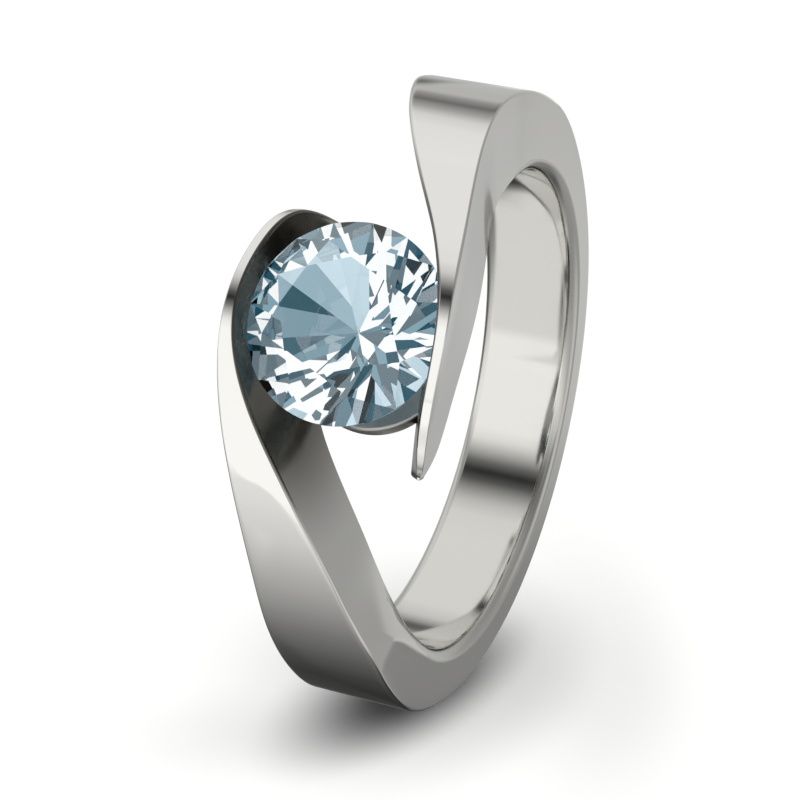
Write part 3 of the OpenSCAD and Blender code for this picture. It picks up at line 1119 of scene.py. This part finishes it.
shade_card = graded_card("shade_card", *SHADE_CARD_PLACE, SHADE_CARD)
stripe_card = graded_card("stripe_card", *STRIPE_CARD_PLACE, STRIPE_CARD)
print("cards:", shade_card.name, "and", stripe_card.name)

# %% [markdown]
# ## The painted soft shadow
#
# The dome burns the sheet out to pure white, as on a retouched product photograph, and the ring
# itself takes no light from the sheet and casts no shadow on it. The photograph keeps one soft
# shadow, low and to the right of the ring, with a faint end to the left, and here it is a painted
# shadow. Black gauze that lies on the sheet and gets thinner towards its edge takes away that light:
# only the light on the sheet passes it, and no reflection shows it.

# %% Lay the gauze that paints the shadow
# each gauze paints a part of the soft shadow onto the sheet
PAINTED_SHADOW_GAUZES = [
    # centre x and y, half sizes, turn in degrees, light its middle takes, where that starts to fade
    (10.07, 10.2, 3.26, 15.4, 13.9, 0.943, 0.182),
    (9.26, 13.05, 5.82, 24.24, 6.1, 0.297, 0.31),
    (6.88, 34.57, 7.8, 24.51, -2.5, 0.153, 0.114),
    (13.3, -5.0, 2.0, 9.5, 4.0, 0.11, 0.0),
]


def shadow_painting_gauze(name, depth, fade_from):
    """A gauze that paints the shadow: it takes the most light in its middle and none at its edge."""
    made, tree = new_material(name)
    place_on = add_node(tree, "ShaderNodeTexCoord")
    out = add_node(tree, "ShaderNodeVectorMath", {"operation": "LENGTH"},
                   links={"Vector": place_on.outputs["Object"]})
    passes = add_node(tree, "ShaderNodeMapRange", {"interpolation_type": "SMOOTHSTEP"},
                      {"From Min": fade_from, "From Max": 1.0, "To Min": 1 - depth, "To Max": 1.0},
                      {"Value": out.outputs["Value"]})
    cloth = add_node(tree, "ShaderNodeBsdfTransparent", links={"Color": passes.outputs["Result"]})
    add_node(tree, "ShaderNodeOutputMaterial", links={"Surface": cloth.outputs["BSDF"]})
    return made


def lay_shadow_painting_gauze(i):
    """Gauze number i: a square of unit size whose material leaves only an ellipse of it."""
    x, y, half_u, half_v, turn, depth, fade_from = PAINTED_SHADOW_GAUZES[i]
    name = f"shadow_gauze_{i + 1}"
    made = flat_sheet(name, [(-1000, -1000, 0), (1000, -1000, 0), (1000, 1000, 0), (-1000, 1000, 0)],
                      shadow_painting_gauze(name, depth, fade_from))
    made.location = Vector((x, y, table_z + 0.01 * (i + 1))) * MM
    made.rotation_euler = (0, 0, math.radians(turn))
    made.scale = (half_u * MM, half_v * MM, 1)
    made.visible_camera = made.visible_glossy = made.visible_transmission = False
    made.visible_volume_scatter = False
    return made


gauzes = [lay_shadow_painting_gauze(i) for i in range(len(PAINTED_SHADOW_GAUZES))]
print("gauzes on the sheet:", len(gauzes))

# %% [markdown]
# ## The camera
#
# The camera looks down on the resting ring from in front of the stone and is turned on its side,
# so in the picture the ring seems to stand upright.

# %% Set up the camera
CAMERA_AT = Vector((10.93, -73.433, 30.149))
AIM_AT = Vector((0.376, -0.644, -1.601))
CAMERA_ROLL = -101.175
LENS_MM = 100.35


def set_camera():
    """A camera at CAMERA_AT that looks at AIM_AT, rolled about its view line."""
    camera = bpy.data.objects.new("camera", bpy.data.cameras.new("camera"))
    bpy.context.scene.collection.objects.link(camera)
    camera.data.lens = LENS_MM
    camera.data.sensor_width = 36
    camera.data.clip_start, camera.data.clip_end = 0.005, 10
    forward = (AIM_AT - CAMERA_AT).normalized()
    level = forward.cross(Vector((0, 0, 1))).normalized()
    up = level.cross(forward)
    roll = math.radians(CAMERA_ROLL)
    top = up * math.cos(roll) + level * math.sin(roll)
    right = forward.cross(top)
    turn = Matrix((right, top, -forward)).transposed()
    camera.matrix_world = Matrix.Translation(CAMERA_AT * MM) @ turn.to_4x4()
    bpy.context.scene.camera = camera
    return camera


set_camera()
print("camera to aim point in mm:", round((AIM_AT - CAMERA_AT).length, 1))

# %% [markdown]
# ## The last update
#
# The dressed ring is meant to keep the size of the CAD model, whose size is printed near the top. At the
# end the scene is brought up to date.

# %% Bring the scene up to date
bpy.context.view_layer.update()
